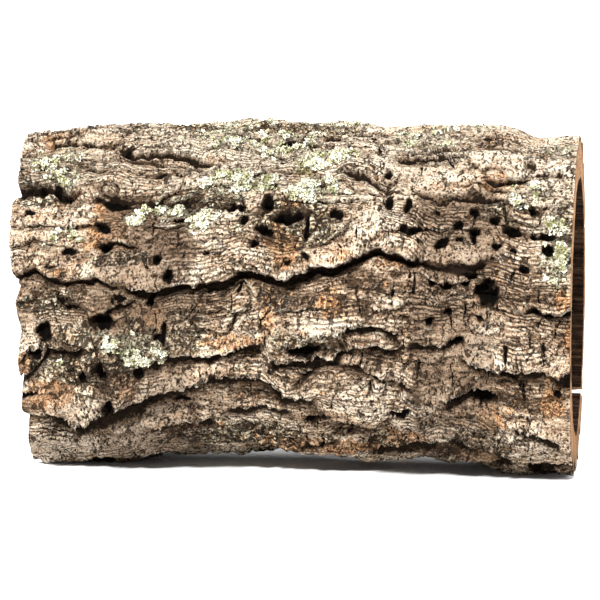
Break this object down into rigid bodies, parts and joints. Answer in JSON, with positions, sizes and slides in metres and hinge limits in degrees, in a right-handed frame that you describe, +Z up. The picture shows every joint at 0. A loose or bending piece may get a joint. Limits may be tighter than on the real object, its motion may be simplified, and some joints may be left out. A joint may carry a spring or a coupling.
{
  "type": "cork bark tube",
  "caption": "Hollow tube of raw cork bark, open at both ends, with lengthwise furrows under overhanging plates and a stripping slit down its back.",
  "frame": {"origin": "middle of the bounding box, on the floor", "axes": "+X along the tube towards its square-cut end, +Y away from the viewer towards the slit, +Z up"},
  "size_m": [0.2982, 0.1722, 0.1846],
  "materials": {
    "cork_bark": "raw weathered cork bark: pale grey-brown plates, near-black furrows, rust patches and lichen, matt"
  },
  "bodies": {
    "root": {"cork_bark_tube": "cork_bark"}
  },
  "joints": []
}
